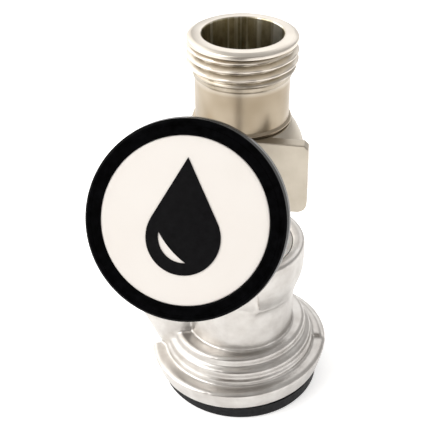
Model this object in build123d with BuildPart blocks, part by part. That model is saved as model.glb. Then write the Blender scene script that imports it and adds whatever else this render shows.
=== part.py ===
from build123d import *

import os
from math import cos, radians, sin, sqrt

# Keg coupler: a bayonet body that locks on a keg neck, a probe that slides
# through it, and a hinged lever with a round knob that pushes the probe down.
# Frame: origin at the centre of the body seal's bottom face, +Z up along the
# probe, the lever leans towards -Y. Lengths in millimetres, angles in degrees.

os.makedirs("parts", exist_ok=True)

# ---------------------------------------------------------------- body sizes
SEAL_H = 3.9               # rubber seal under the flange
SEAL_R_LOW = 19.8
SEAL_R = 20.2
SEAL_HOLE_R = 14.8
TONGUE_IN, TONGUE_OUT, TONGUE_H = 16.4, 18.0, 1.5

FLANGE_TOP = 9.4
FLANGE_R_LOW, FLANGE_R = 19.0, 19.3      # the round part, seen in the gap
ROUND_TOP = 8.9
OVAL_LOW, OVAL_HIGH = (21.3, 20.1), (22.7, 20.9)
OVAL_TURN = 43.0           # direction of the long axis of the ovals
GAP_START, GAP_ARC = 100.0, 97.0         # the bayonet gap in the oval flange
SHELF_START, SHELF_ARC = 6.0, 94.0       # the raised shelf on the flange
SHELF_R, SHELF_TOP = 21.2, 10.4
TIERS = ((19.0, 18.0, 11.2), (18.3, 17.4, 13.4), (17.0, 15.5, 15.9))
LEDGE_IN, LEDGE_DROP = 1.0, 0.5          # every ledge slopes outwards by this much

WAIST_R = 13.1
WAIST_TOP = 28.0
SHOULDER_Z = 33.6
RIM_R = 15.2
RIM_TOP = 40.7
RIM_EDGE = 0.9
DISH_R, DISH_LOW = 14.0, 40.0            # the rim's top slopes in to the bush
BUSH_R = 12.2
BUSH_STEP = 37.4           # the bush is cut down to here under the lever
BUSH_CHORD = -9.2
BUSH_FLOOR = 31.0
CHAMBER_R = 10.3
CAVITY_R = 14.5
CAVITY_TOP = 9.0

# ------------------------------------------------------- hinge and drive pin
PIVOT_Y, PIVOT_Z = -12.5, 42.0
CRANK = 9.0                # pivot to drive pin
HALF_SWING = 33.0          # the crank swings this far above and below level
DRIVE_Y = PIVOT_Y - CRANK * cos(radians(HALF_SWING))
DRIVE_Z = PIVOT_Z + CRANK * sin(radians(HALF_SWING))
SLOT_HALF = 6.0            # half width of the front slot and of the fork
EAR_OUT = 7.4
EAR_R = 2.8
EAR_FOOT = 38.9
PIVOT_PIN_R = 1.5
DRIVE_PIN_R = 2.0
PIN_HALF = 8.1
RUN_GAP = 0.05             # radial clearance of a turning fit
FRONT_SLOT_BOTTOM = 31.0
FRONT_SLOT_FADE = 17.0     # the slot runs out into the waist here
FRONT_SLOT_FACE = -11.7
HUB_HALF = 5.4
HUB_R = 3.1
DRIVE_BOSS_R = 4.0

# ------------------------------------------------------------- gas inlet arm
INLET_ROOT = (-12.6, 0.0, 10.8)
INLET_LEAN = 65.2          # degrees above the horizontal
INLET_DIR = (-cos(radians(INLET_LEAN)), 0.0, sin(radians(INLET_LEAN)))
INLET_BOSS_R = 8.6
INLET_BOSS_END = 25.0      # distances along the arm from its root
INLET_BORE_R = 3.2
SPIGOT_R, SPIGOT_START = 5.6, 15.0
WASHER_T = 0.6
COLLAR_FLATS, INLET_COLLAR_T = 14.4, 3.2
INLET_THREAD_R = 8.33      # G 3/8 male
INLET_THREAD_CORE = 7.55
INLET_PITCH = 1.337
INLET_END = 37.4
VALVE_POCKET_R, VALVE_POCKET = 5.8, 7.5

# -------------------------------------------------------------- outlet tube
OUTLET_TOP = 91.4
OUTLET_THREAD_R = 11.455   # G 5/8 male
OUTLET_CORE_R = 10.29
OUTLET_PITCH = 1.814
OUTLET_TURNS = 4
THREAD_LEAD = 0.65
RELIEF_BOTTOM = 82.6
NECK_R = 9.96
BEAD_R, BEAD_Z = 10.5, 72.9
OUTLET_BORE_R = 8.38
BORE_FLOOR = 74.5
FITTING_BOTTOM = 66.5
CAGE_POCKET_R = 7.6

# --------------------------------------------------------------- probe head
HEAD_R = 13.7
HEAD_BOTTOM, HEAD_TOP = 57.0, 72.1
DOME_START = 64.5
PAD_HALF, PAD_FOOT_HALF = 15.1, 15.5     # half widths at the top and at the foot
PAD_FRONT, PAD_BACK = -11.0, -8.2
PAD_BOTTOM, PAD_TOP = 56.3, 72.5
PAD_TOP_CHAMFER, PAD_FOOT_R = 0.9, 2.2
FORK_BACK = -15.8
FORK_TOP = 67.0
SLOT_R = 2.3               # half height of the fork's slot
SLOT_Y = (-20.0, -21.7)    # its two end centres
FORK_WALL = 1.2

# ------------------------------------------------------------- probe and ball
STEM_R, STEM_BORE_R = 8.0, 4.2
STEM_TOP, STEM_BOTTOM = 62.0, 20.0
COLLAR_R, COLLAR_BOTTOM = 8.9, 55.5
TIP_BOTTOM = 2.6
TIP_SEAT_Z = 6.0
BALL_R, BALL_Z = 5.2, 63.4
BALL_LIFT = 3.0
CAGE_R, CAGE_IN, CAGE_TOP = 7.5, 5.7, 73.4

# -------------------------------------------------------------- lever and knob
KNOB_FACE = (0.0, -59.6, 86.3)
KNOB_TILT = 28.0           # the knob's axis above the horizontal
KNOB_AXIS = (0.0, -cos(radians(KNOB_TILT)), sin(radians(KNOB_TILT)))
KNOB_T = 7.7
KNOB_R, KNOB_FRONT_R, KNOB_BACK_R = 15.3, 14.75, 14.5
RING_R, FACE_R = 14.0, 12.6
RING_T, FACE_T = 1.5, 1.1
FACE_SINK = 0.25           # the white disc sits this far below the ring
EMBLEM_T = 0.12
INSERT_R, INSERT_T = 4.3, 5.5
STUD_R = 3.0
NUT_FLATS, NUT_T, NUT_GAP = 10.0, 3.0, 0.2
ARM_R = 3.5
ARM_COLLAR_R, ARM_COLLAR_T = 4.9, 3.4


def along(start, direction, distance):
    """The point at a distance along a direction from a start point."""
    return tuple(a + d * distance for a, d in zip(start, direction))


def finish(piece, name):
    """Label a finished piece and write it to its own STEP file."""
    piece.part.label = name
    export_step(piece.part, f"parts/{name}.step")


def inlet_plane(distance):
    """A plane square to the gas inlet arm, at a distance from its root."""
    return Plane(origin=along(INLET_ROOT, INLET_DIR, distance), x_dir=(0, 1, 0), z_dir=INLET_DIR)


def knob_plane(depth):
    """A plane square to the knob's axis, at a depth behind its front."""
    return Plane(origin=along(KNOB_FACE, KNOB_AXIS, -depth), x_dir=(1, 0, 0), z_dir=KNOB_AXIS)


def radial_plane(angle):
    """An upright plane through the Z axis, with its x along an angle."""
    turn = radians(angle)
    return Plane(origin=(0, 0, 0), x_dir=(cos(turn), sin(turn), 0), z_dir=(sin(turn), -cos(turn), 0))


def oval(radii, inset=0.0):
    """One of the body's ovals, drawn in the current sketch."""
    Ellipse(radii[0] - inset, radii[1] - inset, rotation=OVAL_TURN)


def thread_points(core, crest, pitch, turns, top):
    """Half section of a row of thread ridges, from the top down."""
    points = []
    for turn in range(turns):
        z = top - turn * pitch
        points += [(crest, z), (crest, z - 0.3 * pitch), (core, z - 0.6 * pitch), (core, z - 0.75 * pitch)]
    return points


# ======================================================================= body
with BuildPart() as coupler_body:
    # the oval bayonet flange, with a gap on the inlet's side
    with BuildSketch(Plane.XY.offset(SEAL_H)):
        oval(OVAL_LOW)
    with BuildSketch(Plane.XY.offset(FLANGE_TOP - LEDGE_DROP)):
        oval(OVAL_HIGH)
    loft()
    with BuildSketch(Plane.XY.offset(FLANGE_TOP - LEDGE_DROP)):
        oval(OVAL_HIGH)
    with BuildSketch(Plane.XY.offset(FLANGE_TOP)):
        oval(OVAL_HIGH, LEDGE_IN)
    loft()
    with BuildSketch(radial_plane(GAP_START)):
        with Locations((CAVITY_R + 10, FLANGE_TOP / 2 + 1)):
            Rectangle(20, FLANGE_TOP)
    revolve(axis=Axis.Z, revolution_arc=GAP_ARC, mode=Mode.SUBTRACT)
    # the turned shape: round flange, waist, shoulder and dished rim
    with BuildSketch(Plane.XZ):
        with BuildLine():
            Polyline(
                (0, SEAL_H), (FLANGE_R_LOW, SEAL_H), (FLANGE_R, ROUND_TOP - 0.5), (FLANGE_R - 0.5, ROUND_TOP),
                (WAIST_R, ROUND_TOP), (WAIST_R, WAIST_TOP), (RIM_R, SHOULDER_Z),
                (RIM_R, RIM_TOP - RIM_EDGE),
            )
            RadiusArc((RIM_R, RIM_TOP - RIM_EDGE), (RIM_R - RIM_EDGE, RIM_TOP), -RIM_EDGE)
            Polyline((RIM_R - RIM_EDGE, RIM_TOP), (DISH_R, RIM_TOP), (BUSH_R, DISH_LOW), (0, DISH_LOW), (0, SEAL_H))
        make_face()
    revolve(axis=Axis.Z)
    # the raised shelf opposite the gap
    with BuildSketch(radial_plane(SHELF_START)):
        with BuildLine():
            Polyline(
                (WAIST_R, FLANGE_TOP - 1), (SHELF_R, FLANGE_TOP - 1), (SHELF_R, SHELF_TOP - LEDGE_DROP),
                (SHELF_R - LEDGE_IN, SHELF_TOP), (WAIST_R, SHELF_TOP), close=True,
            )
        make_face()
    revolve(axis=Axis.Z, revolution_arc=SHELF_ARC)
    # oval tiers, each with a sloping ledge
    for long_r, short_r, top in TIERS:
        with BuildSketch(Plane.XY.offset(FLANGE_TOP - 1)):
            oval((long_r, short_r))
        extrude(amount=top - LEDGE_DROP - FLANGE_TOP + 1)
        with BuildSketch(Plane.XY.offset(top - LEDGE_DROP)):
            oval((long_r, short_r))
        with BuildSketch(Plane.XY.offset(top)):
            oval((long_r, short_r), LEDGE_IN)
        loft()
    # gas inlet arm and its web
    with BuildSketch(inlet_plane(1.0)):
        Circle(INLET_BOSS_R)
    extrude(amount=INLET_BOSS_END - 1.0)
    with BuildSketch(Plane.XZ):
        with BuildLine():
            Polyline((-WAIST_R + 2, FLANGE_TOP), (-20.0, FLANGE_TOP), (-24.5, 24.0), (-WAIST_R + 2, 24.0), close=True)
        make_face()
    extrude(amount=3.0, both=True)
    # hinge ears on the rim, each side of the front slot
    for side in (1, -1):
        with BuildSketch(Plane.YZ.offset(side * (SLOT_HALF + EAR_OUT) / 2)):
            with Locations((PIVOT_Y, PIVOT_Z)):
                Circle(EAR_R)
            with Locations((PIVOT_Y + 0.4, RIM_TOP - 0.5)):
                Rectangle(2 * EAR_R - 0.8, 4.0)
            with Locations((PIVOT_Y, EAR_FOOT - 5)):
                Rectangle(20, 10, mode=Mode.SUBTRACT)
        extrude(amount=(EAR_OUT - SLOT_HALF) / 2, both=True)
    # everything inside: bush seat, gas chamber and keg valve cavity
    for radius, low, high in (
        (BUSH_R, BUSH_FLOOR, DISH_LOW), (CHAMBER_R, 0, BUSH_FLOOR), (CAVITY_R, 0, CAVITY_TOP),
    ):
        with BuildSketch(Plane.XY.offset(low)):
            Circle(radius)
        extrude(amount=high - low, mode=Mode.SUBTRACT)
    # groove that holds the seal's tongue
    with BuildSketch(Plane.XY.offset(SEAL_H)):
        Circle(TONGUE_OUT)
        Circle(TONGUE_IN, mode=Mode.SUBTRACT)
    extrude(amount=TONGUE_H, mode=Mode.SUBTRACT)
    # front slot: it runs out into the waist and is open above the bush
    with BuildSketch(Plane.YZ):
        with BuildLine():
            Polyline(
                (-WAIST_R - 0.1, FRONT_SLOT_FADE), (FRONT_SLOT_FACE, FRONT_SLOT_BOTTOM),
                (FRONT_SLOT_FACE, RIM_TOP + 8), (FRONT_SLOT_FACE - 8, RIM_TOP + 8),
                (FRONT_SLOT_FACE - 8, FRONT_SLOT_FADE), close=True,
            )
        make_face()
    extrude(amount=SLOT_HALF, both=True, mode=Mode.SUBTRACT)
    with BuildSketch(Plane.XY.offset(BUSH_STEP)):
        with Locations((0, PIVOT_Y)):
            Rectangle(2 * SLOT_HALF, 12)
    extrude(amount=12, mode=Mode.SUBTRACT)
    # hinge pin holes
    with BuildSketch(Plane.YZ.offset(-EAR_OUT - 1)):
        with Locations((PIVOT_Y, PIVOT_Z)):
            Circle(PIVOT_PIN_R)
    extrude(amount=2 * EAR_OUT + 2, mode=Mode.SUBTRACT)
    # room in the rim for the hinge pin's clips
    for side in (1, -1):
        with BuildSketch(Plane.XY.offset(PIVOT_Z - PIVOT_PIN_R - 1.5)):
            with Locations((side * (EAR_OUT + 0.45), PIVOT_Y)):
                Rectangle(0.9, 7)
        extrude(amount=6, mode=Mode.SUBTRACT)
    # gas way: spigot pocket and bore down to the cavity
    with BuildSketch(inlet_plane(SPIGOT_START)):
        Circle(SPIGOT_R)
    extrude(amount=INLET_BOSS_END - SPIGOT_START + 1, mode=Mode.SUBTRACT)
    with BuildSketch(inlet_plane(-4)):
        Circle(INLET_BORE_R)
    extrude(amount=SPIGOT_START + 5, mode=Mode.SUBTRACT)
finish(coupler_body, "coupler_body")

with BuildPart() as body_seal:
    with BuildSketch(Plane.XZ):
        with BuildLine():
            Polyline(
                (SEAL_HOLE_R, 0), (SEAL_R_LOW - 0.4, 0), (SEAL_R_LOW, 0.4), (SEAL_R, SEAL_H),
                (TONGUE_OUT - 0.05, SEAL_H), (TONGUE_OUT - 0.05, SEAL_H + TONGUE_H - 0.1),
                (TONGUE_IN + 0.05, SEAL_H + TONGUE_H - 0.1), (TONGUE_IN + 0.05, SEAL_H),
                (SEAL_HOLE_R, SEAL_H), close=True,
            )
        make_face()
    revolve(axis=Axis.Z)
finish(body_seal, "body_seal")

RING_GROOVES = (33.2, 35.6)
RING_SECTION_R = 0.9
with BuildPart() as guide_bush:
    with BuildSketch(Plane.XZ):
        with BuildLine():
            Polyline(
                (STEM_R + 0.08, BUSH_FLOOR), (BUSH_R - 0.02, BUSH_FLOOR), (BUSH_R - 0.02, DISH_LOW - 0.1),
                (STEM_R + 0.08, DISH_LOW - 1.2), close=True,
            )
        make_face()
    revolve(axis=Axis.Z)
    with BuildSketch(Plane.XY.offset(BUSH_STEP)):
        with Locations((0, BUSH_CHORD - 5)):
            Rectangle(2 * BUSH_R, 10)
    extrude(amount=4, mode=Mode.SUBTRACT)
    for z in RING_GROOVES:
        with BuildSketch(Plane.XY.offset(z - RING_SECTION_R)):
            Circle(STEM_R + 2 * RING_SECTION_R)
            Circle(STEM_R - 1, mode=Mode.SUBTRACT)
        extrude(amount=2 * RING_SECTION_R, mode=Mode.SUBTRACT)
finish(guide_bush, "guide_bush")

with BuildPart() as bush_o_rings:
    for z in RING_GROOVES:
        with BuildSketch(Plane.XZ):
            with Locations((STEM_R + 0.05 + (RING_SECTION_R - 0.05), z)):
                Circle(RING_SECTION_R - 0.06)
        revolve(axis=Axis.Z)
finish(bush_o_rings, "bush_o_rings")

with BuildPart() as lever_pivot_pin:
    with BuildSketch(Plane.YZ.offset(-PIN_HALF)):
        with Locations((PIVOT_Y, PIVOT_Z)):
            Circle(PIVOT_PIN_R)
    extrude(amount=2 * PIN_HALF)
    chamfer(lever_pivot_pin.edges().group_by(Axis.X)[0] + lever_pivot_pin.edges().group_by(Axis.X)[-1], 0.3)
finish(lever_pivot_pin, "lever_pivot_pin")

CLIP_T = 0.5
with BuildPart() as pivot_pin_clips:
    for side in (1, -1):
        with BuildSketch(Plane.YZ.offset(side * (EAR_OUT + 0.05 + CLIP_T / 2))):
            with Locations((PIVOT_Y, PIVOT_Z)):
                Circle(PIVOT_PIN_R + 0.9)
                Circle(PIVOT_PIN_R, mode=Mode.SUBTRACT)
            with Locations((PIVOT_Y, PIVOT_Z + 2)):
                Rectangle(1.2, 4, mode=Mode.SUBTRACT)
        extrude(amount=CLIP_T / 2, both=True)
finish(pivot_pin_clips, "pivot_pin_clips")

with BuildPart() as hinge_friction_washers:
    for side in (1, -1):
        with BuildSketch(Plane.YZ.offset(side * (SLOT_HALF - 0.2))):
            with Locations((PIVOT_Y, PIVOT_Z)):
                Circle(HUB_R - 0.5)
                Circle(PIVOT_PIN_R + 0.03, mode=Mode.SUBTRACT)
        extrude(amount=0.15, both=True)
finish(hinge_friction_washers, "hinge_friction_washers")

# ================================================================= gas inlet
THREAD_START = INLET_BOSS_END + WASHER_T + INLET_COLLAR_T + 0.8
with BuildPart() as gas_inlet_nipple:
    with BuildSketch(inlet_plane(SPIGOT_START + 0.5)):
        Circle(SPIGOT_R - 0.02)
    extrude(amount=INLET_BOSS_END + WASHER_T - SPIGOT_START - 0.5)
    with BuildSketch(inlet_plane(INLET_BOSS_END + WASHER_T)):
        Circle(INLET_BOSS_R)
        Rectangle(COLLAR_FLATS, 2 * INLET_BOSS_R, mode=Mode.INTERSECT)
    extrude(amount=INLET_COLLAR_T)
    chamfer(gas_inlet_nipple.faces().sort_by(Axis(INLET_ROOT, INLET_DIR))[-1].edges(), 0.6)
    with BuildSketch(inlet_plane(INLET_BOSS_END + WASHER_T + INLET_COLLAR_T)):
        Circle(INLET_THREAD_CORE)
    extrude(amount=INLET_END - INLET_BOSS_END - WASHER_T - INLET_COLLAR_T)
    for turn in range(6):
        start = THREAD_START + turn * INLET_PITCH
        with BuildSketch(inlet_plane(start)):
            Circle(INLET_THREAD_CORE)
        with BuildSketch(inlet_plane(start + 0.35 * INLET_PITCH)):
            Circle(INLET_THREAD_R)
        loft()
        with BuildSketch(inlet_plane(start + 0.35 * INLET_PITCH)):
            Circle(INLET_THREAD_R)
        extrude(amount=0.15 * INLET_PITCH)
        with BuildSketch(inlet_plane(start + 0.5 * INLET_PITCH)):
            Circle(INLET_THREAD_R)
        with BuildSketch(inlet_plane(start + 0.85 * INLET_PITCH)):
            Circle(INLET_THREAD_CORE)
        loft()
    with BuildSketch(inlet_plane(SPIGOT_START)):
        Circle(INLET_BORE_R)
    extrude(amount=INLET_END, mode=Mode.SUBTRACT)
    with BuildSketch(inlet_plane(INLET_END - VALVE_POCKET)):
        Circle(VALVE_POCKET_R)
    extrude(amount=VALVE_POCKET + 1, mode=Mode.SUBTRACT)
finish(gas_inlet_nipple, "gas_inlet_nipple")

with BuildPart() as inlet_washer:
    with BuildSketch(inlet_plane(INLET_BOSS_END)):
        Circle(INLET_BOSS_R - 0.4)
        Circle(SPIGOT_R, mode=Mode.SUBTRACT)
    extrude(amount=WASHER_T)
finish(inlet_washer, "inlet_washer")

VALVE_START = INLET_END - VALVE_POCKET
with BuildPart() as gas_check_valve:
    with BuildSketch(inlet_plane(VALVE_START)):
        Circle(VALVE_POCKET_R - 0.05)
        Circle(2.6, mode=Mode.SUBTRACT)
    extrude(amount=1.4)
    with BuildSketch(inlet_plane(VALVE_START + 1.4)):
        Circle(3.6)
    with BuildSketch(inlet_plane(VALVE_START + 4.8)):
        Rectangle(1.4, 6.0)
    loft()
    with BuildSketch(inlet_plane(VALVE_START + 1.0)):
        Circle(2.6)
    with BuildSketch(inlet_plane(VALVE_START + 4.3)):
        Rectangle(0.3, 4.0)
    loft(mode=Mode.SUBTRACT)
finish(gas_check_valve, "gas_check_valve")

with BuildPart() as check_valve_retainer:
    with BuildSketch(inlet_plane(VALVE_START + 1.45)):
        Circle(VALVE_POCKET_R - 0.02)
        Circle(4.4, mode=Mode.SUBTRACT)
    extrude(amount=1.2)
finish(check_valve_retainer, "check_valve_retainer")

# ===================================================== probe head and outlet
with BuildPart() as outlet_fitting:
    with BuildSketch(Plane.XZ):
        with BuildLine():
            thread_top = OUTLET_TOP - THREAD_LEAD
            ridges = thread_points(OUTLET_CORE_R, OUTLET_THREAD_R, OUTLET_PITCH, OUTLET_TURNS, thread_top)
            Polyline(
                (OUTLET_BORE_R + 0.3, OUTLET_TOP), (OUTLET_THREAD_R - 0.55, OUTLET_TOP), *ridges,
                (OUTLET_CORE_R, RELIEF_BOTTOM), (NECK_R, RELIEF_BOTTOM - 0.35), (NECK_R, BEAD_Z + 0.55),
            )
            ThreePointArc((NECK_R, BEAD_Z + 0.55), (BEAD_R, BEAD_Z), (NECK_R, BEAD_Z - 0.55))
            Polyline(
                (NECK_R, BEAD_Z - 0.55), (NECK_R, FITTING_BOTTOM), (CAGE_POCKET_R, FITTING_BOTTOM),
                (CAGE_POCKET_R, BORE_FLOOR), (OUTLET_BORE_R, BORE_FLOOR), (OUTLET_BORE_R, OUTLET_TOP - 0.3),
                (OUTLET_BORE_R + 0.3, OUTLET_TOP),
            )
        make_face()
    revolve(axis=Axis.Z)
finish(outlet_fitting, "outlet_fitting")

with BuildPart() as probe_head:
    # round head with a domed shoulder
    with BuildSketch(Plane.XZ):
        with BuildLine():
            Polyline((0, HEAD_TOP), (0, HEAD_BOTTOM), (HEAD_R - 0.8, HEAD_BOTTOM), (HEAD_R, HEAD_BOTTOM + 0.8),
                     (HEAD_R, DOME_START))
            ThreePointArc((HEAD_R, DOME_START), (12.75, 68.5), (10.5, HEAD_TOP))
            Line((10.5, HEAD_TOP), (0, HEAD_TOP))
        make_face()
    revolve(axis=Axis.Z)
    # flat pad on the lever's side
    with BuildSketch(Plane.XZ.offset(-PAD_BACK)) as pad:
        with BuildLine():
            Polyline(
                (-PAD_FOOT_HALF, PAD_BOTTOM), (PAD_FOOT_HALF, PAD_BOTTOM), (PAD_HALF, PAD_TOP),
                (-PAD_HALF, PAD_TOP), close=True,
            )
        make_face()
        chamfer(pad.vertices().group_by(Axis.Y)[-1], PAD_TOP_CHAMFER)
        fillet(pad.vertices().group_by(Axis.Y)[0], PAD_FOOT_R)
    extrude(amount=PAD_BACK - PAD_FRONT)
    # fork: two cheeks that carry the drive pin's slots
    for side in (1, -1):
        with BuildSketch(Plane.YZ.offset(side * (SLOT_HALF + EAR_OUT) / 2)):
            with BuildLine():
                Polyline(
                    (PAD_BACK, PAD_BOTTOM), (PAD_BACK, FORK_TOP), (PAD_FRONT - 0.8, FORK_TOP),
                    (SLOT_Y[1] - 3.6, DRIVE_Z + 2.2), (SLOT_Y[1], DRIVE_Z), (FORK_BACK, DRIVE_Z),
                    (FORK_BACK, PAD_BOTTOM), close=True,
                )
            make_face()
            for y in SLOT_Y:
                with Locations((y, DRIVE_Z)):
                    Circle(SLOT_R + FORK_WALL)
            with Locations(((SLOT_Y[0] + SLOT_Y[1]) / 2, DRIVE_Z)):
                Rectangle(SLOT_Y[0] - SLOT_Y[1], 2 * (SLOT_R + FORK_WALL))
                SlotCenterToCenter(SLOT_Y[0] - SLOT_Y[1], 2 * SLOT_R, mode=Mode.SUBTRACT)
        extrude(amount=(EAR_OUT - SLOT_HALF) / 2, both=True)
    # bores for the stem, the ball cage and the outlet fitting
    for radius, low, high in (
        (STEM_R, HEAD_BOTTOM - 2, HEAD_TOP), (NECK_R + 0.02, STEM_TOP, HEAD_TOP + 3),
        (BEAD_R + 0.15, HEAD_TOP, HEAD_TOP + 3), (COLLAR_R + 0.05, HEAD_BOTTOM - 2, HEAD_BOTTOM),
    ):
        with BuildSketch(Plane.XY.offset(low)):
            Circle(radius)
        extrude(amount=high - low, mode=Mode.SUBTRACT)
finish(probe_head, "probe_head")

with BuildPart() as probe_stem:
    with BuildSketch(Plane.XZ):
        with BuildLine():
            Polyline(
                (STEM_BORE_R, STEM_BOTTOM), (STEM_R, STEM_BOTTOM), (STEM_R, COLLAR_BOTTOM),
                (COLLAR_R, COLLAR_BOTTOM), (COLLAR_R, HEAD_BOTTOM), (STEM_R - 0.01, HEAD_BOTTOM),
                (STEM_R - 0.01, STEM_TOP), (STEM_BORE_R + 1.8, STEM_TOP), (STEM_BORE_R, STEM_TOP - 1.8), close=True,
            )
        make_face()
    revolve(axis=Axis.Z)
    with BuildSketch(Plane.XY.offset(STEM_BOTTOM)):
        Circle(6.0)
    extrude(amount=6, mode=Mode.SUBTRACT)
finish(probe_stem, "probe_stem")

with BuildPart() as probe_tip:
    with BuildSketch(Plane.XZ):
        with BuildLine():
            Polyline(
                (STEM_BORE_R, TIP_BOTTOM), (5.6, TIP_BOTTOM), (6.2, TIP_BOTTOM + 0.6), (6.2, TIP_SEAT_Z),
                (8.4, TIP_SEAT_Z), (8.4, TIP_SEAT_Z + 1.8), (7.2, TIP_SEAT_Z + 3.0), (7.2, STEM_BOTTOM - 1.2),
                (8.0, STEM_BOTTOM - 0.1), (5.98, STEM_BOTTOM - 0.1), (5.98, STEM_BOTTOM + 5.5),
                (STEM_BORE_R, STEM_BOTTOM + 5.5), close=True,
            )
        make_face()
    revolve(axis=Axis.Z)
    with BuildSketch(Plane.XZ.offset(-10)):
        with Locations((0, 13.5)):
            SlotOverall(6.0, 2.6, rotation=90)
    extrude(amount=20, mode=Mode.SUBTRACT)
finish(probe_tip, "probe_tip")

with BuildPart() as probe_seal:
    with BuildSketch(Plane.XZ):
        with BuildLine():
            Polyline(
                (6.25, TIP_SEAT_Z - 2.0), (7.6, TIP_SEAT_Z - 2.0), (9.2, TIP_SEAT_Z - 0.9), (9.2, TIP_SEAT_Z),
                (6.25, TIP_SEAT_Z), close=True,
            )
        make_face()
    revolve(axis=Axis.Z)
finish(probe_seal, "probe_seal")

with BuildPart() as ball_cage:
    with BuildSketch(Plane.XZ):
        with BuildLine():
            Polyline(
                (CAGE_IN, STEM_TOP + 0.05), (NECK_R - 0.1, STEM_TOP + 0.05), (NECK_R - 0.1, FITTING_BOTTOM - 0.05),
                (CAGE_R, FITTING_BOTTOM - 0.05), (CAGE_R, CAGE_TOP), (3.8, CAGE_TOP), (3.8, CAGE_TOP - 1.3),
                (CAGE_IN, CAGE_TOP - 1.3), close=True,
            )
        make_face()
    revolve(axis=Axis.Z)
    with BuildSketch(Plane.XY.offset(FITTING_BOTTOM)):
        with PolarLocations(CAGE_R, 4, start_angle=45):
            Rectangle(6.0, 4.6)
    extrude(amount=CAGE_TOP - 1.3 - FITTING_BOTTOM, mode=Mode.SUBTRACT)
finish(ball_cage, "ball_cage")

with BuildPart() as cage_retaining_ring:
    with BuildSketch(Plane.XY.offset(CAGE_TOP + 0.05)):
        Circle(CAGE_POCKET_R - 0.02)
        Circle(CAGE_POCKET_R - 1.2, mode=Mode.SUBTRACT)
        with Locations((0, CAGE_POCKET_R)):
            Rectangle(2.4, 4.0, mode=Mode.SUBTRACT)
    extrude(amount=0.8)
finish(cage_retaining_ring, "cage_retaining_ring")

with BuildPart() as check_ball:
    with Locations((0, 0, BALL_Z)):
        Sphere(BALL_R)
finish(check_ball, "check_ball")

# ============================================================= lever and knob
ARM_END = along(KNOB_FACE, KNOB_AXIS, -(KNOB_T + NUT_GAP + NUT_T + 0.1 + ARM_COLLAR_T))
ARM_END_BACK = tuple(-value for value in KNOB_AXIS)
with BuildPart() as lever_arm:
    with BuildSketch(Plane.YZ):
        with Locations((PIVOT_Y, PIVOT_Z)):
            Circle(HUB_R)
        with Locations((DRIVE_Y, DRIVE_Z)):
            Circle(DRIVE_BOSS_R)
        make_hull()
    extrude(amount=HUB_HALF, both=True)
    with BuildLine():
        arm_path = TangentArc(ARM_END, (0, DRIVE_Y, DRIVE_Z), tangent=ARM_END_BACK)
    with BuildSketch(Plane(origin=ARM_END, x_dir=(1, 0, 0), z_dir=ARM_END_BACK)):
        Ellipse(ARM_R + 0.6, ARM_R - 0.3)
    sweep(path=arm_path)
    with BuildSketch(Plane(origin=ARM_END, x_dir=(1, 0, 0), z_dir=KNOB_AXIS)):
        Circle(ARM_COLLAR_R)
    extrude(amount=ARM_COLLAR_T)
    with BuildSketch(Plane(origin=ARM_END, x_dir=(1, 0, 0), z_dir=KNOB_AXIS)):
        Circle(ARM_COLLAR_R)
    with BuildSketch(Plane(origin=along(ARM_END, ARM_END_BACK, 3.0), x_dir=(1, 0, 0), z_dir=KNOB_AXIS)):
        Circle(ARM_R - 0.4)
    loft()
    # holes: hinge, drive pin and knob stud
    for y, z, radius in ((PIVOT_Y, PIVOT_Z, PIVOT_PIN_R + RUN_GAP), (DRIVE_Y, DRIVE_Z, DRIVE_PIN_R)):
        with BuildSketch(Plane.YZ.offset(-HUB_HALF - 1)):
            with Locations((y, z)):
                Circle(radius)
        extrude(amount=2 * HUB_HALF + 2, mode=Mode.SUBTRACT)
    with BuildSketch(Plane(origin=along(ARM_END, ARM_END_BACK, 3.0), x_dir=(1, 0, 0), z_dir=KNOB_AXIS)):
        Circle(STUD_R)
    extrude(amount=ARM_COLLAR_T + 4, mode=Mode.SUBTRACT)
finish(lever_arm, "lever_arm")

with BuildPart() as drive_pin:
    with BuildSketch(Plane.YZ.offset(-PIN_HALF)):
        with Locations((DRIVE_Y, DRIVE_Z)):
            Circle(DRIVE_PIN_R)
    extrude(amount=2 * PIN_HALF)
    chamfer(drive_pin.edges().group_by(Axis.X)[0] + drive_pin.edges().group_by(Axis.X)[-1], 0.3)
finish(drive_pin, "drive_pin")

with BuildPart() as drive_pin_clips:
    for side in (1, -1):
        with BuildSketch(Plane.YZ.offset(side * (EAR_OUT + 0.3 + CLIP_T / 2))):
            with Locations((DRIVE_Y, DRIVE_Z)):
                Circle(DRIVE_PIN_R + 0.8)
                Circle(DRIVE_PIN_R, mode=Mode.SUBTRACT)
            with Locations((DRIVE_Y - 2, DRIVE_Z)):
                Rectangle(4, 1.6, mode=Mode.SUBTRACT)
        extrude(amount=CLIP_T / 2, both=True)
finish(drive_pin_clips, "drive_pin_clips")

INSERT_FRONT = KNOB_T - INSERT_T
with BuildPart() as lever_stud:
    with BuildSketch(knob_plane(KNOB_T + NUT_GAP + NUT_T + 0.1 + ARM_COLLAR_T + 2.9)):
        Circle(STUD_R - 0.01)
    extrude(amount=NUT_GAP + NUT_T + ARM_COLLAR_T + 3.0 + INSERT_T - 0.6)
    chamfer(lever_stud.faces().sort_by(Axis(KNOB_FACE, KNOB_AXIS))[-1].edges(), 0.4)
finish(lever_stud, "lever_stud")

with BuildPart() as knob_locknut:
    with BuildSketch(knob_plane(KNOB_T + NUT_GAP + NUT_T)):
        RegularPolygon(NUT_FLATS / 2, 6, major_radius=False)
        Circle(STUD_R + 0.01, mode=Mode.SUBTRACT)
    extrude(amount=NUT_T)
finish(knob_locknut, "knob_locknut")

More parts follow.
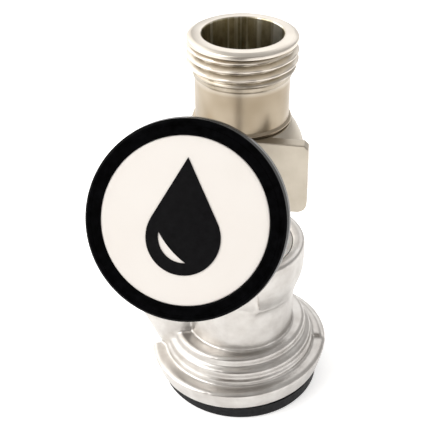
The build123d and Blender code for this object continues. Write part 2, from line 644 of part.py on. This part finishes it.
with BuildPart() as knob_body:
    with BuildSketch(Plane(origin=KNOB_FACE, x_dir=(1, 0, 0), z_dir=(0, KNOB_AXIS[2], -KNOB_AXIS[1]))):
        with BuildLine():
            Polyline(
                (RING_R + 0.05, 0), (RING_R + 0.05, RING_T), (INSERT_R, RING_T), (INSERT_R, KNOB_T),
                (KNOB_BACK_R - 0.9, KNOB_T),
            )
            ThreePointArc((KNOB_BACK_R - 0.9, KNOB_T), (KNOB_R - 0.5, KNOB_T - 0.75), (KNOB_R, KNOB_T - 2.0))
            Polyline((KNOB_R, KNOB_T - 2.0), (KNOB_R, 1.1))
            ThreePointArc((KNOB_R, 1.1), (KNOB_R - 0.2, 0.35), (KNOB_FRONT_R, 0))
            Line((KNOB_FRONT_R, 0), (RING_R + 0.05, 0))
        make_face()
    revolve(axis=Axis(KNOB_FACE, KNOB_AXIS))
finish(knob_body, "knob_body")

with BuildPart() as knob_insert:
    with BuildSketch(knob_plane(KNOB_T)):
        Circle(INSERT_R)
        Circle(STUD_R, mode=Mode.SUBTRACT)
    extrude(amount=INSERT_T)
finish(knob_insert, "knob_insert")

with BuildPart() as knob_ring:
    with BuildSketch(knob_plane(RING_T)):
        Circle(RING_R)
        Circle(FACE_R, mode=Mode.SUBTRACT)
    extrude(amount=RING_T)
    chamfer(knob_ring.faces().sort_by(Axis(KNOB_FACE, KNOB_AXIS))[-1].edges(), 0.2)
finish(knob_ring, "knob_ring")

with BuildPart() as knob_face:
    with BuildSketch(knob_plane(FACE_SINK + FACE_T)):
        Circle(FACE_R - 0.02)
    extrude(amount=FACE_T)
finish(knob_face, "knob_face")

# a plain drop with a crescent cut out of it
DROP_R, DROP_TIP, DROP_LOW = 5.6, 9.4, -2.4
drop_touch = DROP_R * DROP_R / (DROP_TIP - DROP_LOW)
drop_side = sqrt(DROP_R * DROP_R - drop_touch * drop_touch)
with BuildPart() as knob_emblem:
    with BuildSketch(knob_plane(FACE_SINK)):
        with Locations((0, DROP_LOW)):
            Circle(DROP_R)
        with BuildLine():
            Polyline(
                (-drop_side, DROP_LOW + drop_touch), (0, DROP_TIP), (drop_side, DROP_LOW + drop_touch), close=True,
            )
        make_face()
        with BuildLine():
            ThreePointArc((-3.7, DROP_LOW + 0.6), (-2.62, DROP_LOW - 2.62), (0.6, DROP_LOW - 3.7))
            ThreePointArc((0.6, DROP_LOW - 3.7), (-1.8, DROP_LOW - 1.8), (-3.7, DROP_LOW + 0.6))
        make_face(mode=Mode.SUBTRACT)
    extrude(amount=EMBLEM_T)
finish(knob_emblem, "knob_emblem")
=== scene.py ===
from math import cos, hypot, pi, radians, sin, tan

import bmesh
import bpy
from mathutils import Matrix, Vector


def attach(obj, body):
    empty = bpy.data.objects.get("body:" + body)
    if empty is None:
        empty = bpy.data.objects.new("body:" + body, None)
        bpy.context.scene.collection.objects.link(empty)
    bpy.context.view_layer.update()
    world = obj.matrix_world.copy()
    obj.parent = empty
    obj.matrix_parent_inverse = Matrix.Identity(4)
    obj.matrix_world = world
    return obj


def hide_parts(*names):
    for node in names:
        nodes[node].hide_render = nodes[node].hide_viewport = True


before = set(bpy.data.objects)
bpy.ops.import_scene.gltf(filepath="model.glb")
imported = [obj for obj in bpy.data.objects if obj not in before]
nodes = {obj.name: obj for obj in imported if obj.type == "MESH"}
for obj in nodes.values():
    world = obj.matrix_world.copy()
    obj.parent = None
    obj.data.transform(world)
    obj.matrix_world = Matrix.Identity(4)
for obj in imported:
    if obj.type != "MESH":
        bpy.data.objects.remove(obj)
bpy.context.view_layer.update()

# A keg coupler: cast bayonet body, sliding probe with a threaded outlet, and a
# hinged lever with a round knob. Lengths below are millimetres; MM turns them
# into the frame's metres.
MM = 0.001

KNOB_FRONT = Vector((0.0, -59.6, 86.3))
KNOB_TILT = radians(28.0)
KNOB_AXIS = Vector((0.0, -cos(KNOB_TILT), sin(KNOB_TILT)))
INLET_ROOT = Vector((-12.6, 0.0, 10.8))
INLET_LEAN = radians(65.2)
INLET_AXIS = Vector((-cos(INLET_LEAN), 0.0, sin(INLET_LEAN)))
UP = Vector((0.0, 0.0, 1.0))
ORIGIN = Vector((0.0, 0.0, 0.0))
ROUND_STEPS = 160
THREAD_STEPS = 192
KNOB_STEPS = 224
KNOB_CREASE = 50          # degrees; the knob's roundings shade as one surface
CORE_STRETCH = "thread"   # stands in a tube's outline where its thread is
WAIST_R, SHOULDER_STEP = 13.1, 2.1
FLARE_LOW, FLARE_HIGH = 28.0, 33.6       # the CAD body's flare from waist to rim
EASED_LOW, EASED_HIGH = 25.0, 35.2       # the same flare drawn out


# ------------------------------------------------------------- mesh helpers
def make_object(name, vertices, faces):
    """A new mesh object, in metres, from points in millimetres."""
    mesh = bpy.data.meshes.new(name)
    mesh.from_pydata([Vector(v) * MM for v in vertices], [], faces)
    mesh.validate()
    piece = bpy.data.objects.new(name, mesh)
    bpy.context.scene.collection.objects.link(piece)
    return piece


def smooth(piece, angle=35):
    """Smooth shading with creases sharper than an angle kept."""
    piece.data.shade_smooth()
    piece.data.set_sharp_from_angle(angle=radians(angle))
    return piece


def basis(origin, axis):
    """A matrix whose Z lies along an axis and whose X stays level."""
    z = axis.normalized()
    x = Vector((1, 0, 0)) if abs(z.x) < 0.9 else Vector((0, 1, 0))
    y = z.cross(x).normalized()
    x = y.cross(z)
    matrix = Matrix((x, y, z)).transposed().to_4x4()
    matrix.translation = origin
    return matrix


def soften(outline, radius, steps=5):
    """A closed outline with each corner rounded; (r, h) or (r, h, own radius)."""
    points = []
    count = len(outline)
    for i in range(count):
        before = Vector(outline[i - 1][:2])
        corner = Vector(outline[i][:2])
        after = Vector(outline[(i + 1) % count][:2])
        wanted = outline[i][2] if len(outline[i]) > 2 else radius
        back, ahead = (before - corner), (after - corner)
        turn = pi - back.angle(ahead)
        if wanted <= 0 or turn < 0.05:
            points.append(tuple(corner))
            continue
        cut = min(wanted * tan(turn / 2), 0.45 * back.length, 0.45 * ahead.length)
        first = corner + back.normalized() * cut
        last = corner + ahead.normalized() * cut
        margin = min(0.08, 0.25 * cut)
        points.append(tuple(first + back.normalized() * margin))
        for k in range(steps + 1):
            t = k / steps
            points.append(tuple(first * (1 - t) ** 2 + corner * 2 * t * (1 - t) + last * t ** 2))
        points.append(tuple(last + ahead.normalized() * margin))
    return points


def spun(name, profile_at, count, steps, angle, origin, axis):
    """A closed profile of count points, carried round an axis; profile_at gives it at a share of a turn."""
    place = basis(origin, axis)
    vertices = []
    faces = []
    for j in range(steps):
        a = 2 * pi * j / steps
        vertices += [place @ Vector((r * cos(a), r * sin(a), h)) for r, h in profile_at(j / steps)]
        here, there = j * count, ((j + 1) % steps) * count
        for i in range(count):
            after = (i + 1) % count
            faces.append((here + i, there + i, there + after, here + after))
    piece = make_object(name, vertices, faces)
    outward(piece)
    return smooth(piece, angle)


def turned(name, outline, origin=ORIGIN, axis=UP, steps=ROUND_STEPS, angle=35):
    """A closed (radius, height) outline turned about an axis."""
    return spun(name, lambda share: outline, len(outline), steps, angle, origin, axis)


def outward(piece):
    """Turn every face to point out of its solid."""
    work = bmesh.new()
    work.from_mesh(piece.data)
    bmesh.ops.recalc_face_normals(work, faces=work.faces)
    work.to_mesh(piece.data)
    work.free()


def applied(piece):
    """Bake a piece's modifiers into its mesh."""
    graph = bpy.context.evaluated_depsgraph_get()
    mesh = bpy.data.meshes.new_from_object(piece.evaluated_get(graph))
    piece.modifiers.clear()
    piece.data = mesh
    return piece


def cast_copy(name, node, voxel, passes):
    """A CAD node as a cast shape: remeshed and smoothed, so its edges are soft."""
    work = bmesh.new()
    work.from_mesh(nodes[node].data)
    mesh = bpy.data.meshes.new(name)
    work.to_mesh(mesh)
    work.free()
    piece = bpy.data.objects.new(name, mesh)
    bpy.context.scene.collection.objects.link(piece)
    remesh = piece.modifiers.new("remesh", "REMESH")
    remesh.mode = "VOXEL"
    remesh.voxel_size = voxel * MM
    soft = piece.modifiers.new("soften", "SMOOTH")
    soft.factor = 0.5
    soft.iterations = passes
    applied(piece)
    piece.data.shade_smooth()
    return piece


# ---------------------------------------------------------- material helpers
class Nodes:
    """A small wrapper that adds and links shader nodes."""

    def __init__(self, name):
        self.material = bpy.data.materials.new(name)
        self.material.use_nodes = True
        self.tree = self.material.node_tree
        self.shader = self.tree.nodes["Principled BSDF"]
        self.place = self.add("ShaderNodeTexCoord").outputs["Object"]

    def add(self, kind, **settings):
        node = self.tree.nodes.new(kind)
        for key, value in settings.items():
            setattr(node, key, value)
        return node

    def link(self, source, target):
        self.tree.links.new(source, target)

    def scaled(self, x, y, z):
        """Object coordinates stretched along each axis, for grain that runs one way."""
        mapping = self.add("ShaderNodeMapping")
        mapping.inputs["Scale"].default_value = (x, y, z)
        mapping.inputs["Location"].default_value = (0.31, 0.67, 0.13)
        self.link(self.place, mapping.inputs["Vector"])
        return mapping.outputs["Vector"]

    def radius_and_height(self):
        """The distance from the Z axis and the height, in metres."""
        level = self.add("ShaderNodeVectorMath", operation="MULTIPLY")
        level.inputs[1].default_value = (1, 1, 0)
        self.link(self.place, level.inputs[0])
        radius = self.add("ShaderNodeVectorMath", operation="LENGTH")
        self.link(level.outputs[0], radius.inputs[0])
        split = self.add("ShaderNodeSeparateXYZ")
        self.link(self.place, split.inputs[0])
        return radius.outputs["Value"], split.outputs["Z"]

    def noise(self, scale, detail=4.0, roughness=0.55, vector=None):
        node = self.add("ShaderNodeTexNoise")
        node.inputs["Scale"].default_value = scale
        node.inputs["Detail"].default_value = detail
        node.inputs["Roughness"].default_value = roughness
        self.link(vector or self.place, node.inputs["Vector"])
        return node.outputs["Fac"]

    def ramp(self, value, low, high, start=0.3, end=0.7):
        node = self.add("ShaderNodeMapRange")
        for key, number in (("From Min", start), ("From Max", end), ("To Min", low), ("To Max", high)):
            node.inputs[key].default_value = number
        self.link(value, node.inputs["Value"])
        return node.outputs["Result"]

    def blend(self, factor, first, second):
        node = self.add("ShaderNodeMix", data_type="RGBA")
        for socket, value in ((node.inputs[6], first), (node.inputs[7], second)):
            if isinstance(value, tuple):
                socket.default_value = (*value, 1.0)
            else:
                self.link(value, socket)
        self.link(factor, node.inputs[0])
        return node.outputs[2]

    def times(self, first, *others):
        """The product of several values."""
        for other in others:
            node = self.add("ShaderNodeMath", operation="MULTIPLY")
            self.link(first, node.inputs[0])
            self.link(other, node.inputs[1])
            first = node.outputs[0]
        return first

    def bump(self, height, distance, strength=1.0, under=None):
        node = self.add("ShaderNodeBump")
        node.inputs["Distance"].default_value = distance * MM
        node.inputs["Strength"].default_value = strength
        self.link(height, node.inputs["Height"])
        if under is not None:
            self.link(under, node.inputs["Normal"])
        return node.outputs["Normal"]


def cast_steel():
    """Bead-blasted cast stainless steel: pale, fine grained, slightly mottled."""
    n = Nodes("cast_steel")
    mottle = n.noise(260, 3)
    fine = n.noise(5200, 2, 0.6)
    pits = n.noise(1500, 3, 0.65)
    tone = n.blend(n.ramp(mottle, 0, 1), (0.48, 0.455, 0.43), (0.60, 0.58, 0.555))
    n.link(tone, n.shader.inputs["Base Color"])
    n.link(n.ramp(n.noise(420, 4), 0.30, 0.40), n.shader.inputs["Roughness"])
    n.shader.inputs["Metallic"].default_value = 1.0
    shaped = n.bump(pits, 0.05, 0.5)
    n.link(n.bump(fine, 0.02, 0.55, shaped), n.shader.inputs["Normal"])
    return n.material


def turned_steel():
    """Lathe-turned stainless steel: fine rings round Z and a warm tint."""
    n = Nodes("turned_steel")
    rings = n.noise(1.0, 3, 0.7, n.scaled(60, 60, 9000))
    broad = n.noise(1.0, 2, 0.5, n.scaled(90, 90, 700))
    tone = n.blend(n.ramp(broad, 0, 1), (0.48, 0.43, 0.37), (0.62, 0.575, 0.51))
    n.link(tone, n.shader.inputs["Base Color"])
    n.link(n.ramp(rings, 0.17, 0.27), n.shader.inputs["Roughness"])
    n.shader.inputs["Metallic"].default_value = 1.0
    n.link(n.bump(rings, 0.012, 0.6, n.bump(broad, 0.02, 0.25)), n.shader.inputs["Normal"])
    return n.material


def outlet_steel():
    """The outlet's turned steel: satin outside, brown and streaked inside the bore, with painted shade in
    the thread roots.
    """
    n = Nodes("outlet_steel")
    rings = n.noise(1.0, 3, 0.7, n.scaled(60, 60, 9000))
    cloud = n.noise(1.0, 2, 0.5, n.scaled(110, 110, 90))
    neck = n.blend(n.ramp(cloud, 0, 1), (0.29, 0.235, 0.165), (0.45, 0.385, 0.30))
    thread = n.blend(n.ramp(cloud, 0, 1), (0.62, 0.57, 0.50), (0.78, 0.73, 0.66))
    streaks = n.noise(1.0, 2, 0.6, n.scaled(480, 480, 12))
    stain = n.noise(1.0, 4, 0.7, n.scaled(380, 380, 190))
    brown = n.blend(n.ramp(stain, 0, 1), (0.24, 0.20, 0.11), (0.50, 0.45, 0.32))
    inside = n.blend(n.ramp(streaks, 0, 1, 0.50, 0.62), brown, (0.86, 0.84, 0.76))
    radius, height = n.radius_and_height()
    within = n.ramp(radius, 1, 0, 8.42 * MM, 8.62 * MM)
    outside = n.blend(n.ramp(height, 0, 1, 81.5 * MM, 84.0 * MM), neck, thread)
    # painted shade: a darker brown painted into the thread roots and the groove below the thread, mottled
    # by the stain noise
    painted_root_shade = n.times(
        n.ramp(radius, 1, 0, 10.45 * MM, 11.2 * MM),
        n.ramp(radius, 0, 1, 10.05 * MM, 10.25 * MM),
        n.ramp(height, 0, 1, 80.0 * MM, 82.5 * MM),
        n.ramp(height, 1, 0, 90.05 * MM, 90.3 * MM),
        n.ramp(stain, 0.55, 1.0),
    )
    tone = n.blend(painted_root_shade, n.blend(within, outside, inside), (0.34, 0.29, 0.22))
    n.link(tone, n.shader.inputs["Base Color"])
    n.link(n.ramp(rings, 0.28, 0.38), n.shader.inputs["Roughness"])
    n.shader.inputs["Metallic"].default_value = 1.0
    n.link(n.bump(rings, 0.012, 0.6), n.shader.inputs["Normal"])
    return n.material


def milled_steel():
    """Fine-machined block, matte and warm, with faint cutter lines."""
    n = Nodes("milled_steel")
    lines = n.noise(1.0, 3, 0.7, n.scaled(7000, 300, 260))
    cloud = n.noise(180, 3)
    tone = n.blend(n.ramp(cloud, 0, 1), (0.42, 0.375, 0.31), (0.48, 0.435, 0.365))
    n.link(tone, n.shader.inputs["Base Color"])
    n.link(n.ramp(lines, 0.32, 0.44), n.shader.inputs["Roughness"])
    n.shader.inputs["Metallic"].default_value = 1.0
    n.link(n.bump(lines, 0.01, 0.5, n.bump(n.noise(3800, 2), 0.012, 0.4)), n.shader.inputs["Normal"])
    return n.material


def bright_steel(name, tone=(0.66, 0.65, 0.64), rough=(0.10, 0.2)):
    """Ground or stamped steel for pins, clips and the ball."""
    n = Nodes(name)
    scratch = n.noise(1.0, 3, 0.7, n.scaled(400, 3500, 3500))
    n.link(n.blend(n.ramp(n.noise(500, 3), 0, 1), tuple(0.85 * c for c in tone), tone),
           n.shader.inputs["Base Color"])
    n.link(n.ramp(scratch, *rough), n.shader.inputs["Roughness"])
    n.shader.inputs["Metallic"].default_value = 1.0
    n.link(n.bump(scratch, 0.006, 0.5), n.shader.inputs["Normal"])
    return n.material


def turned_brass():
    """Brass insert with turning rings."""
    n = Nodes("turned_brass")
    rings = n.noise(1.0, 3, 0.7, n.scaled(2500, 2500, 2500))
    n.link(n.blend(n.ramp(rings, 0, 1), (0.62, 0.42, 0.14), (0.80, 0.60, 0.28)),
           n.shader.inputs["Base Color"])
    n.link(n.ramp(rings, 0.2, 0.36), n.shader.inputs["Roughness"])
    n.shader.inputs["Metallic"].default_value = 1.0
    return n.material


def moulded_black():
    """Polished black plastic with faint polishing haze."""
    n = Nodes("moulded_black")
    haze = n.noise(900, 4, 0.6)
    n.link(n.blend(n.ramp(haze, 0, 1), (0.001, 0.001, 0.001), (0.003, 0.003, 0.0035)),
           n.shader.inputs["Base Color"])
    n.link(n.ramp(n.noise(1400, 3), 0.10, 0.19), n.shader.inputs["Roughness"])
    n.shader.inputs["Specular IOR Level"].default_value = 0.008
    n.link(n.bump(n.noise(330, 3), 0.02, 0.25), n.shader.inputs["Normal"])
    return n.material


def face_enamel():
    """Warm white inlay under clear gloss."""
    n = Nodes("face_enamel")
    n.link(n.blend(n.ramp(n.noise(90, 2), 0, 1), (0.745, 0.705, 0.665), (0.765, 0.73, 0.695)),
           n.shader.inputs["Base Color"])
    n.link(n.ramp(n.noise(1400, 3), 0.30, 0.38), n.shader.inputs["Roughness"])
    n.shader.inputs["Coat Weight"].default_value = 0.15
    n.shader.inputs["Coat Roughness"].default_value = 0.08
    return n.material


def emblem_ink():
    """Black print, a little less glossy than the knob."""
    n = Nodes("emblem_ink")
    n.link(n.blend(n.ramp(n.noise(2600, 3), 0, 1), (0.001, 0.001, 0.0015), (0.003, 0.003, 0.004)),
           n.shader.inputs["Base Color"])
    n.link(n.ramp(n.noise(1200, 3), 0.30, 0.40), n.shader.inputs["Roughness"])
    n.shader.inputs["Specular IOR Level"].default_value = 0.16
    return n.material


def rubber(name, dark=(0.004, 0.004, 0.005), light=(0.010, 0.010, 0.011)):
    """Moulded rubber with a dusty, pebbled surface."""
    n = Nodes(name)
    n.link(n.blend(n.ramp(n.noise(700, 4), 0, 1), dark, light), n.shader.inputs["Base Color"])
    n.link(n.ramp(n.noise(1600, 3), 0.45, 0.68), n.shader.inputs["Roughness"])
    n.shader.inputs["Specular IOR Level"].default_value = 0.12
    n.link(n.bump(n.noise(2600, 3), 0.03, 0.5), n.shader.inputs["Normal"])
    return n.material


def acetal():
    """Natural moulded acetal."""
    n = Nodes("acetal")
    n.link(n.blend(n.ramp(n.noise(300, 3), 0, 1), (0.74, 0.72, 0.68), (0.82, 0.80, 0.77)),
           n.shader.inputs["Base Color"])
    n.link(n.ramp(n.noise(1500, 3), 0.35, 0.5), n.shader.inputs["Roughness"])
    n.shader.inputs["Subsurface Weight"].default_value = 0.1
    n.shader.inputs["Subsurface Scale"].default_value = 0.001
    n.link(n.bump(n.noise(2200, 2), 0.012, 0.4), n.shader.inputs["Normal"])
    return n.material


def floor_paper():
    """Plain pale studio floor."""
    n = Nodes("floor_paper")
    n.link(n.blend(n.ramp(n.noise(60, 3), 0, 1), (0.93, 0.93, 0.93), (0.95, 0.95, 0.95)),
           n.shader.inputs["Base Color"])
    n.shader.inputs["Emission Color"].default_value = (1.0, 1.0, 1.0, 1.0)
    n.shader.inputs["Emission Strength"].default_value = 0.48
    n.shader.inputs["Roughness"].default_value = 0.9
    n.shader.inputs["Specular IOR Level"].default_value = 0.1
    return n.material


# -------------------------------------------------------------------- pieces
def dress(piece, body, slot, material, *replaced):
    """Give a new piece its body, finish and the CAD nodes that it stands for."""
    piece.data.materials.clear()
    piece.data.materials.append(material)
    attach(piece, body)
    if replaced:
        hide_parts(*replaced)
    return piece


def coat(node, material):
    """Give a CAD node a better material."""
    mesh = nodes[node].data
    mesh.materials.clear()
    mesh.materials.append(material)


def clamp(value):
    return min(1.0, max(0.0, value))


def ease_shoulder(piece):
    """Draw the flare between the waist and the rim out into a longer curve."""
    reach = 0.4
    for vertex in piece.data.vertices:
        x, y, z = vertex.co / MM
        radius = hypot(x, y)
        flare = SHOULDER_STEP * clamp((z - FLARE_LOW) / (FLARE_HIGH - FLARE_LOW))
        nearness = clamp(1.0 - (abs(radius - WAIST_R - flare) - reach) / (2 * reach))
        if EASED_LOW - 1 < z < EASED_HIGH + 0.8 and nearness > 0:
            t = clamp((z - EASED_LOW) / (EASED_HIGH - EASED_LOW))
            eased = radius + nearness * (SHOULDER_STEP * t * t * (3 - 2 * t) - flare)
            vertex.co = Vector((x * eased / radius, y * eased / radius, z)) * MM


def body_casting(material):
    """The cast body, with soft edges and fillets."""
    piece = cast_copy("body_casting", "coupler_body", 0.24, 24)
    ease_shoulder(piece)
    dress(piece, "body", "cast_stainless", material, "coupler_body")


def head_block(material):
    """The probe's domed head with its flat pad and fork."""
    piece = cast_copy("head_block", "probe_head", 0.2, 3)
    dress(piece, "probe", "head_stainless", material, "probe_head")


def lever_casting(material):
    """The lever, with soft cast edges."""
    piece = cast_copy("lever_casting", "lever_arm", 0.22, 6)
    dress(piece, "lever", "lever_stainless", material, "lever_arm")


def seal_ring(material):
    """The rubber seal with a rounded lip and a moulded groove."""
    outline = soften([
        (14.8, 0.3), (15.2, 0.0), (16.6, 0.0), (17.0, 0.4), (17.6, 0.4), (18.0, 0.0), (19.6, 0.0),
        (19.95, 0.6), (20.05, 1.9), (20.2, 3.9), (17.9, 3.9), (17.9, 5.3), (16.5, 5.3), (16.5, 3.9),
        (14.8, 3.9),
    ], 0.18)
    dress(turned("seal_ring", outline), "body", "seal_rubber", material, "body_seal")


def thread_height(phase, crest_share=0.16, root_share=0.14):
    """0 at a thread's root and 1 at its crest, over one pitch."""
    phase = phase % 1.0
    flank = (1.0 - crest_share - root_share) / 2
    if phase < crest_share:
        return 1.0
    if phase < crest_share + flank:
        return 1.0 - (phase - crest_share) / flank
    if phase < crest_share + flank + root_share:
        return 0.0
    return (phase - crest_share - flank - root_share) / flank


def threaded_tube(name, outline, thread, origin=ORIGIN, axis=UP):
    """A turned tube whose outer wall carries a helical thread.

    The outline is closed, and CORE_STRETCH stands in it for the threaded wall,
    going down. The thread is (low, high, core radius, crest radius, pitch).
    """
    low, high, core, crest, pitch = thread
    rows = int((high - low) / pitch * 14)
    steps_down = [high - (high - low) * k / rows for k in range(rows + 1)]

    def radius_at(h, share):
        fade = min(1.0, (high - h) / (0.45 * pitch) + 0.35, (h - low) / (0.8 * pitch))
        return core + (crest - core) * thread_height((high - h) / pitch + share) * max(0.0, fade)

    def profile_at(share):
        profile = []
        for point in outline:
            if point == CORE_STRETCH:
                profile += [(radius_at(h, share), h) for h in steps_down]
            else:
                profile.append(point)
        return profile

    return spun(name, profile_at, len(outline) + rows, THREAD_STEPS, 40, origin, axis)


def outlet_tube(material):
    """The outlet: G 5/8 thread, polished neck and foot bead."""
    low, high, core, crest, pitch = 83.6, 90.05, 10.3, 11.455, 1.814
    bore, neck, top = 8.38, 9.96, 91.4
    bead = [(neck + 0.54 * sin(pi * k / 8), 73.45 - 1.1 * k / 8) for k in range(9)]
    outline = [
        (8.3, 66.5), (8.3, 74.5), (bore, 74.52), (bore, 80.0), (bore, 91.0),
        (8.42, 91.22), (8.52, 91.35), (8.68, top), (9.0, top), (10.3, top), (10.45, 91.37),
        (11.15, 91.02), (11.3, 90.9), (11.38, 90.7), (11.38, 90.2),
        CORE_STRETCH, (core, 83.1), (10.22, 82.8), (10.05, 82.62),
        (neck, 82.4), (neck, 82.0), (neck, 78.0), (neck, 73.6), *bead, (neck, 72.2), (neck, 66.5),
    ]
    piece = threaded_tube("outlet_tube", outline, (low, high, core, crest, pitch))
    dress(piece, "probe", "machined_stainless", material, "outlet_fitting")


def inlet_nipple(material):
    """The gas inlet's nipple, with its thread, wrench flats and check valve pocket."""
    low, high, core, crest, pitch = 29.3, 37.0, 7.6, 8.33, 1.337
    foot, bore, pocket, pocket_floor, collar = 15.5, 3.2, 5.8, 29.9, 8.6
    outline = [
        (bore, foot), (bore, pocket_floor), (pocket, pocket_floor), (pocket, 37.1), (6.0, 37.35),
        (6.3, 37.4), (7.2, 37.4), (7.4, 37.25), CORE_STRETCH, (core, 28.9), (8.3, 28.7),
        (collar, 28.4), (collar, 26.0), (8.35, 25.65), (5.58, 25.6), (5.58, foot),
    ]
    piece = threaded_tube("inlet_nipple", outline, (low, high, core, crest, pitch), INLET_ROOT, INLET_AXIS)
    flats(piece, INLET_ROOT, INLET_AXIS, 7.2, 25.5, 28.75)
    dress(piece, "body", "machined_stainless", material, "gas_inlet_nipple")


def flats(piece, origin, axis, reach, low, high):
    """Press two wrench flats into a collar: no point stands further out than reach along local X."""
    place = basis(origin, axis)
    back = place.inverted()
    for vertex in piece.data.vertices:
        point = back @ (vertex.co / MM)
        if low <= point.z <= high and abs(point.x) > reach:
            point.x = reach if point.x > 0 else -reach
            vertex.co = (place @ point) * MM


def knob_turning(name, outline, steps=KNOB_STEPS):
    """A piece of the knob, turned about the knob's axis; heights run back from its front face."""
    return turned(name, outline, KNOB_FRONT, KNOB_AXIS, steps, KNOB_CREASE)


def knob_pieces(black, white, ink, brass):
    """The knob: black puck, bezel ring, white disc, drop pictogram and brass insert."""
    puck = soften([
        (14.02, 0.0, 0.03), (14.02, -1.5, 0), (4.3, -1.5, 0), (4.3, -7.7, 0.15), (12.9, -7.7, 0.4),
        (14.6, -7.1, 1.0), (15.15, -5.6, 2.0), (15.29, -3.8, 2.0), (15.22, -2.0, 2.0),
        (15.0, -0.45, 0.3), (14.6, 0.0, 0.2),
    ], 0.3, 8)
    dress(knob_turning("knob_puck", puck), "lever", "knob_black", black, "knob_body")
    bezel = soften([
        (12.6, -1.5, 0), (12.6, -0.12, 0.1), (12.8, 0.0, 0.12), (13.95, 0.0, 0.03), (14.0, -0.05, 0.02),
        (14.0, -1.5, 0),
    ], 0.1, 6)
    dress(knob_turning("knob_bezel", bezel), "lever", "knob_black", black, "knob_ring")
    disc = [
        (0.0, -1.35), (12.57, -1.35), (12.57, -0.36), (12.5, -0.29), (12.35, -0.26), (11.8, -0.25),
        (6.0, -0.25), (0.0, -0.25),
    ]
    dress(knob_turning("knob_disc", disc, 192), "lever", "face_white", white, "knob_face")
    coat("knob_emblem", ink)
    coat("knob_insert", brass)


# --------------------------------------------------------------------- scene
def floor():
    """A pale floor that reaches the horizon."""
    edge = 40.0 / MM
    corners = [(-edge, -edge, -0.05), (edge, -edge, -0.05), (edge, edge, -0.05), (-edge, edge, -0.05)]
    sheet = make_object("floor", corners, [(0, 1, 2, 3)])
    sheet.data.materials.append(floor_paper())


def surroundings():
    """A dark strip in front, a grey room, a bright window on the left and a pale horizon."""
    dark_strip = (0.13, 0.10, 0.075, 1)
    lobes = (
        ("Y", -0.95, -0.35, (0.56, 0.55, 0.54, 1)),
        ("X", -0.25, -0.75, (2.5, 2.45, 2.36, 1)),
        ("Z", 0.12, 0.08, (1.02, 1.02, 1.02, 1)),
    )
    world = bpy.data.worlds.new("studio")
    bpy.context.scene.world = world
    world.use_nodes = True
    tree = world.node_tree
    direction = tree.nodes.new("ShaderNodeTexCoord")
    split = tree.nodes.new("ShaderNodeSeparateXYZ")
    tree.links.new(direction.outputs["Generated"], split.inputs["Vector"])
    start = tree.nodes.new("ShaderNodeRGB")
    start.outputs[0].default_value = dark_strip
    colour = start.outputs[0]
    for axis, begins, full, tone in lobes:
        lobe = tree.nodes.new("ShaderNodeMapRange")
        lobe.interpolation_type = "SMOOTHSTEP"
        lobe.inputs["From Min"].default_value = begins
        lobe.inputs["From Max"].default_value = full
        tree.links.new(split.outputs[axis], lobe.inputs["Value"])
        mix = tree.nodes.new("ShaderNodeMix")
        mix.data_type = "RGBA"
        mix.inputs[7].default_value = tone
        tree.links.new(colour, mix.inputs[6])
        tree.links.new(lobe.outputs["Result"], mix.inputs[0])
        colour = mix.outputs[2]
    tree.links.new(colour, tree.nodes["Background"].inputs["Color"])


def lights():
    """A key on the left, a light behind, and two fills that leave no reflection."""
    soft_light("key", (-0.30, -0.25, 0.42), 0.34, 1.0)
    soft_light("fill", (0.42, -0.10, 0.30), 0.30, 0.22).visible_glossy = False
    soft_light("back", (0.05, 0.45, 0.40), 0.40, 0.5)
    soft_light("front_fill", (0.0, -0.60, 0.42), 0.50, 0.15).visible_glossy = False


def soft_light(name, place, size, power):
    """A square soft box that looks at the object's middle; sizes in metres and watts."""
    light = bpy.data.lights.new(name, "AREA")
    light.size = size
    light.energy = power
    lamp = bpy.data.objects.new(name, light)
    lamp.location = place
    lamp.rotation_euler = (Vector((0, 0, 0.045)) - Vector(place)).to_track_quat("-Z", "Y").to_euler()
    bpy.context.scene.collection.objects.link(lamp)
    return lamp


def camera():
    """A camera at the photograph's viewing angle: a little right of the lever, looking down."""
    heading, pitch, roll = radians(10.2), radians(34.757), radians(-0.63)
    data = bpy.data.cameras.new("camera")
    data.sensor_width = 36.0
    data.lens = 68.5
    data.clip_start = 0.01
    view = bpy.data.objects.new("camera", data)
    forward = Vector((-sin(heading) * cos(pitch), cos(heading) * cos(pitch), -sin(pitch)))
    level = Vector((cos(heading), sin(heading), 0.0))
    above = level.cross(forward)
    right = cos(roll) * level + sin(roll) * above
    upward = cos(roll) * above - sin(roll) * level
    pose = Matrix((right, upward, -forward)).transposed().to_4x4()
    pose.translation = Vector((21.71, -154.45, 154.89)) * MM
    view.matrix_world = pose
    bpy.context.scene.collection.objects.link(view)
    bpy.context.scene.camera = view


def main():
    cast = cast_steel()
    turned_metal = turned_steel()
    milled = milled_steel()
    pin = bright_steel("ground_pin")
    spring = bright_steel("spring_plate", (0.42, 0.42, 0.43), (0.25, 0.38))
    ball = bright_steel("ball_polish", (0.72, 0.72, 0.72), (0.04, 0.09))
    seal = rubber("seal_rubber_black")
    ring = rubber("nitrile", (0.02, 0.02, 0.02), (0.035, 0.035, 0.035))
    silicone = rubber("silicone", (0.17, 0.16, 0.15), (0.27, 0.26, 0.25))
    plastic = acetal()
    body_casting(cast)
    head_block(milled)
    lever_casting(cast)
    seal_ring(seal)
    outlet_tube(outlet_steel())
    inlet_nipple(turned_metal)
    knob_pieces(moulded_black(), face_enamel(), emblem_ink(), turned_brass())
    for node in ("probe_stem", "probe_tip", "knob_locknut"):
        coat(node, turned_metal)
    for node in ("lever_pivot_pin", "drive_pin", "lever_stud"):
        coat(node, pin)
    for node in ("pivot_pin_clips", "drive_pin_clips", "hinge_friction_washers", "cage_retaining_ring"):
        coat(node, spring)
    for node in ("guide_bush", "ball_cage", "check_valve_retainer", "inlet_washer"):
        coat(node, plastic)
    coat("check_ball", ball)
    coat("probe_seal", seal)
    coat("bush_o_rings", ring)
    coat("gas_check_valve", silicone)
    floor()
    surroundings()
    lights()
    camera()
    bpy.context.scene.view_settings.view_transform = "Standard"


main()
